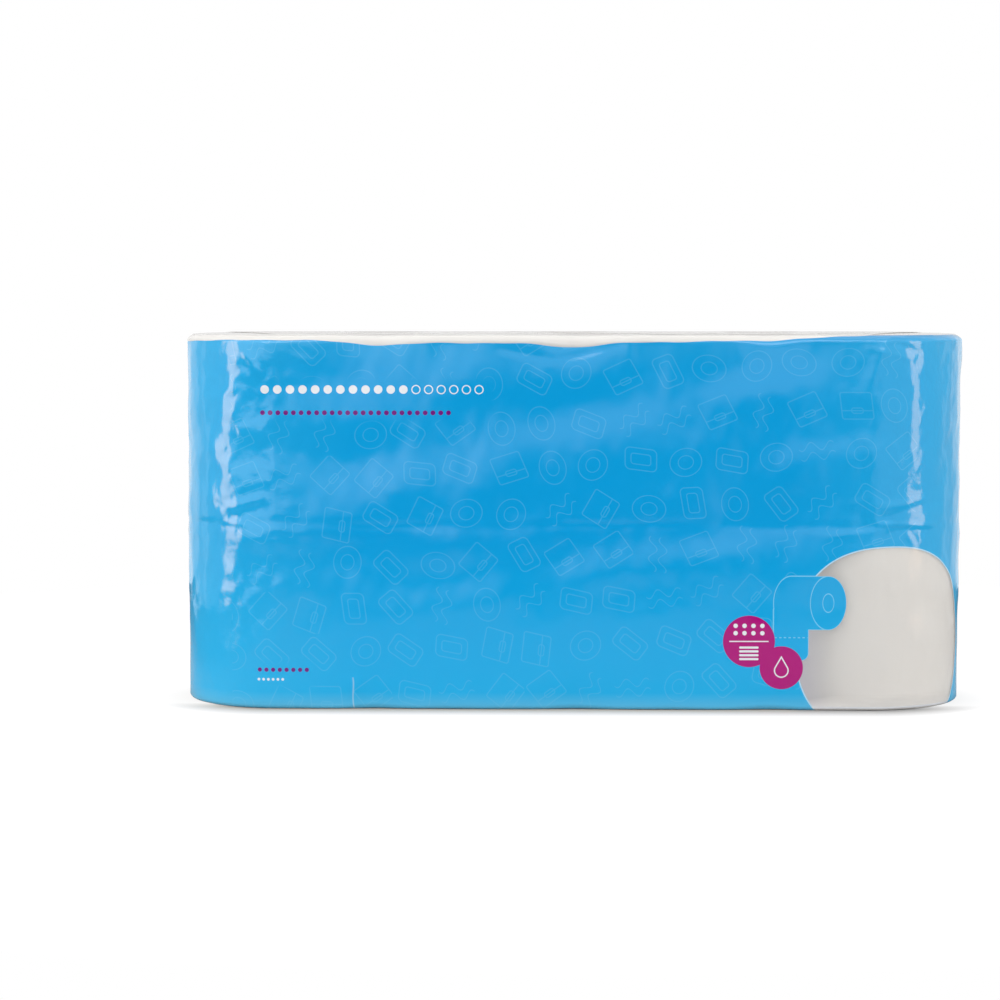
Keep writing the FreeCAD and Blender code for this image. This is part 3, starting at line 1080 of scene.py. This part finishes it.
def roll_points(axis, foot, seed):
    """The profile at each angle round the axis, with waves that fade at the bore.

    The radius loses up to 0.25 mm by slow waves in the angle, and the last sheet ends in a step.
    """
    random = np.random.default_rng(seed)
    profile = roll_profile()
    angles = np.linspace(0, 2 * math.pi, angle_steps, endpoint=False)
    radius = profile[:, :1] + np.zeros(angle_steps)
    height = profile[:, 1:] + np.zeros(angle_steps)
    outer = ease((radius - bore_radius) / (roll_radius - bore_radius))
    phases = random.uniform(0, 2 * math.pi, 4)
    slow = sum(np.sin((k + 2) * angles + phase) for k, phase in enumerate(phases)) / 4
    tail = random.uniform(0, 2 * math.pi)
    past = (angles - tail) % (2 * math.pi)
    step = -0.18 * mm * ease(past / 0.05) * (1 - past / (2 * math.pi))
    radius += outer * (0.12 * mm * (slow - 1) + step)
    middle = np.abs(height - roll_height / 2) / (roll_height / 2)
    on_end = ease((middle - 0.9) * 10)
    ripple = 0.10 * mm * np.sin(radius / mm * 2.1 + 3 * np.sin(angles + phases[0]))
    height += on_end * outer * np.sign(roll_height / 2 - height) * np.abs(ripple)
    return carried_round(axis, radius, foot + height, angles)


def close_round(count_rows, count_columns):
    """Quads of a grid that closes on itself along its columns and its rows."""
    index = np.arange(count_rows * count_columns).reshape(count_rows, count_columns)
    index = np.hstack([index, index[:, :1]])
    index = np.vstack([index, index[:1]])
    return quads(index)


for seed, name in enumerate(roll_names):
    low, high = roll_boxes[name]
    grid = roll_points((low.x + high.x) / 2, low.z, 60 + seed)
    faces = close_round(*grid.shape[:2])
    make_piece(f"{name}_paper", grid.reshape(-1, 3), faces, paper_material, [name])
print("rolls:", len(roll_names), "with", len(faces) * 2, "triangles each")

# %% [markdown]
# ## The cores
# A core is grey board wound in a spiral, so a fine seam climbs round it. The tube is a small closed
# profile carried round the axis, and the seam is a shallow groove that follows the angle.

# %% Board
board_material, tree, shader = new_material("core_board")
coordinates = object_place(tree)
specks = noise(tree, coordinates, 500, 4)
bands = noise(tree, coordinates, 40, 2, (1, 1, 4))
colour = blend_colour(tree, specks * 0.6 + bands * 0.4, paint(150, 132, 112), paint(190, 172, 150))
tree.links.new(colour, shader.inputs["Base Color"])
shader.inputs["Roughness"].default_value = 0.9
bump(tree, shader, specks, 0.08 * mm, 0.6)

# %% Wind the cores
wall_thickness = 0.7 * mm
seam_climb = 90 * mm
seam_depth = 0.15 * mm


def core_points(axis, low_z, high_z, phase):
    """The wall's outside upwards and its inside downwards, carried round the axis.

    The seam is a furrow where the height over its climb and the angle make a whole turn.
    """
    up = np.linspace(low_z, high_z, 40)
    height = np.concatenate([up, up[::-1]])[:, None]
    outwards = np.repeat([1, -1], len(up))[:, None]
    angles = np.linspace(0, 2 * math.pi, 96, endpoint=False)
    climb = (height / seam_climb * 2 * math.pi - angles + phase) % (2 * math.pi)
    seam = bell((climb - math.pi) / 0.09) * seam_depth
    wall_radius = core_radius - wall_thickness * (outwards < 0)
    return carried_round(axis, wall_radius - seam * outwards, height, angles)


for number, name in enumerate(core_names):
    low, high = core_boxes[name]
    grid = core_points((low.x + high.x) / 2, low.z, high.z, number * 1.3)
    faces = close_round(*grid.shape[:2])
    make_piece(f"{name}_board", grid.reshape(-1, 3), faces, board_material, [name])
print("cores:", len(core_names), "with", len(faces) * 2, "triangles each")

# %% [markdown]
# ## Floor, light and camera
# The pack stands on a small white table. What the film shows is mostly what it mirrors, so each side
# has two lamps in one place: a broad fill that lights the paper and the ink but has no mirror image,
# and a stripe that is only a mirror image, the upright highlight. A broad lamp above the camera and
# one over the pack light the rest. The white of the background is a colour, not extra light: the
# table and the room are white only where the camera sees them, and the table turns from its grey to
# that white with the distance from the pack, which leaves the shadow in place. Its grey is painted
# darker and warmer near the pack, and darker under the window, beside the lamps and at the rim:
# painted shade. The film mirrors a room that is bright above and at the sides, with a pale card
# standing on each side.

# %% Table
table_radius, table_sides = 0.64, 96
edge_angles = np.linspace(0, 2 * math.pi, table_sides, endpoint=False)
edge = np.stack([np.cos(edge_angles), np.sin(edge_angles), 0 * edge_angles], -1) * table_radius
numbers = np.arange(table_sides)
table_faces = np.stack([0 * numbers, 1 + numbers, 1 + (numbers + 1) % table_sides], -1)
mesh = bpy.data.meshes.new("table")
mesh.from_pydata([(0, 0, 0)] + edge.tolist(), [], table_faces.tolist())
table = bpy.data.objects.new("table", mesh)
bpy.context.scene.collection.objects.link(table)
floor_material, tree, shader = new_material("white_table")
mesh.materials.append(floor_material)
print(f"table {2 * table_radius:.2f} m across")

# %% The table's colour
floor_grey, window_shadow_grey, lamp_shade_grey, rim_shade_grey = ((level,) * 3 for level in (0.64, 0.45, 0.2, 0.1))
# Painted shadow: near the pack the table is a darker, warm grey, which also cancels the blue light the
# film throws on it, and under the window a darker grey.
painted_shadow_colour = (0.66, 0.55, 0.46)
floor_x, floor_y, _ = parts_of(tree, object_place(tree))
past_ends = (abs(floor_x) - end_x).high(0.0)
from_pack = length(past_ends, floor_y) - film_half
clear_of_pack = from_pack.climb(2 * mm, 20 * mm)
under_window = floor_x.climb(0.11, 0.02)
# Painted shade: the table is darker far out to the sides, towards the lamps.
lamp_shade_share = past_ends.climb(0.12, 0.1)
# Painted shade: the table turns dark towards its rim, so that the film mirrors a dark band there.
rim_shade_share = length(floor_x, floor_y).climb(0.46, 0.14)
near_pack = blend_colour(tree, under_window, painted_shadow_colour, window_shadow_grey)
floor_colour = blend_colour(tree, clear_of_pack, near_pack, floor_grey)
floor_colour = lay_colours(tree, floor_colour, [(lamp_shade_share, lamp_shade_grey), (rim_shade_share, rim_shade_grey)])
tree.links.new(floor_colour, shader.inputs["Base Color"])
shader.inputs["Roughness"].default_value = 0.9
shader.inputs["Specular IOR Level"].default_value = 0.1

# %% White where the camera sees it
path = tree.nodes.new("ShaderNodeLightPath")
seen = Field(tree, path.outputs["Is Camera Ray"])
before_pack = (-floor_y).climb(30 * mm, 15 * mm)
shadow_share = clear_of_pack.rest() * (before_pack * 0.80 + 0.14)
white_share = seen * (-shadow_share + 0.98)
glow = tree.nodes.new("ShaderNodeEmission")
glow.inputs["Color"].default_value = (1, 1, 1, 1)
glow.inputs["Strength"].default_value = 1.05
mixed = tree.nodes.new("ShaderNodeMixShader")
tree.links.new(white_share.socket, mixed.inputs["Fac"])
tree.links.new(shader.outputs[0], mixed.inputs[1])
tree.links.new(glow.outputs[0], mixed.inputs[2])
tree.links.new(mixed.outputs[0], tree.nodes["Material Output"].inputs["Surface"])

# %% Room
world = bpy.data.worlds.new("studio")
bpy.context.scene.world = world
world.use_nodes = True
tree = world.node_tree
sky = tree.nodes["Background"]
sky.inputs["Color"].default_value = (1, 1, 1, 1)
path = tree.nodes.new("ShaderNodeLightPath")
seen = Field(tree, path.outputs["Is Camera Ray"]).high(Field(tree, path.outputs["Is Transmission Ray"]))
mirrored = Field(tree, path.outputs["Is Glossy Ray"])
heading = tree.nodes.new("ShaderNodeTexCoord").outputs["Generated"]
sideways, forward, upward = parts_of(tree, heading)
on_left = sideways.math("LESS_THAN", 0.0)

# %% What the film mirrors of the room
ambient = 0.42
above = upward.climb(-0.04, 0.10) * 1.1
left_glow = (-sideways).climb(-0.05, 0.24) * upward.climb(-0.09, 0.06) * 2.0
right_glow = sideways.climb(0.09, 0.14) * 0.85
before = above.high(left_glow).high(right_glow) + 0.02
beside_pack = forward.climb(-0.55, 0.45)
card_middle = on_left * -0.12 + 0.37
card = (-abs(forward - card_middle)).climb(-0.07, 0.02) * 0.5
ceiling = upward.climb(0.30, 0.10) * 0.6
at_sides = before + (-before + 0.75) * beside_pack + card + ceiling
backdrop = (forward + on_left * 0.16).climb(0.60, 0.05)
backdrop_level = abs(sideways).climb(0.25, 0.15) * 0.30 + 0.85
in_mirror = at_sides + (backdrop_level - at_sides) * backdrop
unseen = (in_mirror - ambient) * mirrored + ambient
strength = unseen + unseen.rest() * seen
tree.links.new(strength.socket, sky.inputs["Strength"])

# %% Lamps
watts_per_area = 4
camera_distance = 1.55


def lamp(name, place, aim, width, height, brightness):
    """A flat lamp turned to face a point: its power is its brightness times its area times 4."""
    light = bpy.data.lights.new(name, "AREA")
    light.shape = "RECTANGLE"
    light.size, light.size_y = width, height
    light.energy = brightness * width * height * watts_per_area
    item = bpy.data.objects.new(name, light)
    bpy.context.scene.collection.objects.link(item)
    item.location = place
    item.rotation_euler = (Vector(aim) - Vector(place)).to_track_quat("-Z", "Y").to_euler()
    item.visible_camera = False
    return item


def beside(turn, far, side):
    """The place of a tall lamp that the half-round end mirrors to the camera at the given turn.

    The lamp's heading is twice the film's turn plus the camera's heading, as in a flat mirror.
    """
    mirror = Vector((side * (end_x + film_half * math.sin(turn)), -film_half * math.cos(turn), 0))
    to_camera = math.atan2(mirror.x * side, camera_distance)
    out = 2 * turn + to_camera
    return mirror + far * Vector((side * math.sin(out), -math.cos(out), 0)), mirror


lamp_height, fill_brightness = 0.9, 4.2
gel = (1.0, 0.56, 0.27)
for name, side, turn, far, width, brightness in (
    ("left", -1, math.radians(30), 0.65, 0.21, 5.0),
    ("right", 1, math.radians(27), 0.95, 0.27, 4.0),
):
    place, mirror = beside(turn, far, side)
    place.z = mirror.z = lamp_height / 2
    fill = lamp(f"{name}_fill", place, mirror, width, lamp_height, fill_brightness)
    fill.visible_glossy = False
    nearer = place + (mirror - place) * 0.1
    stripe = lamp(f"{name}_stripe", nearer, mirror, width * 0.9, lamp_height, brightness)
    stripe.data.color = gel
    stripe.visible_diffuse = False
lamp("front_lamp", (0.1, -1.7, 1.0), (0, 0, 0.1), 1.6, 0.8, 1.95)
lamp("top_lamp", (0, 0.1, 1.5), (0, 0, 0.1), 1.3, 1.3, 0.7)

# %% Camera
# The place, the heading and the lens come from fitting the pack's outline to the photograph.
eye = Vector((0.0004, -1.5948, 0.2259))
pan, tilt = math.radians(-1.405), math.radians(4.327)
focal_pixels, frame_pixels = 3001.6, 1000
ahead = Vector((math.sin(pan) * math.cos(tilt), math.cos(pan) * math.cos(tilt), -math.sin(tilt)))
camera = bpy.data.cameras.new("camera")
camera.sensor_width = 36
camera.lens = camera.sensor_width * focal_pixels / frame_pixels
camera_item = bpy.data.objects.new("camera", camera)
bpy.context.scene.collection.objects.link(camera_item)
camera_item.location = eye
camera_item.rotation_euler = ahead.to_track_quat("-Z", "Y").to_euler()
bpy.context.scene.camera = camera_item
bpy.context.scene.view_settings.view_transform = "Standard"
print(f"lens {camera.lens:.1f} mm")
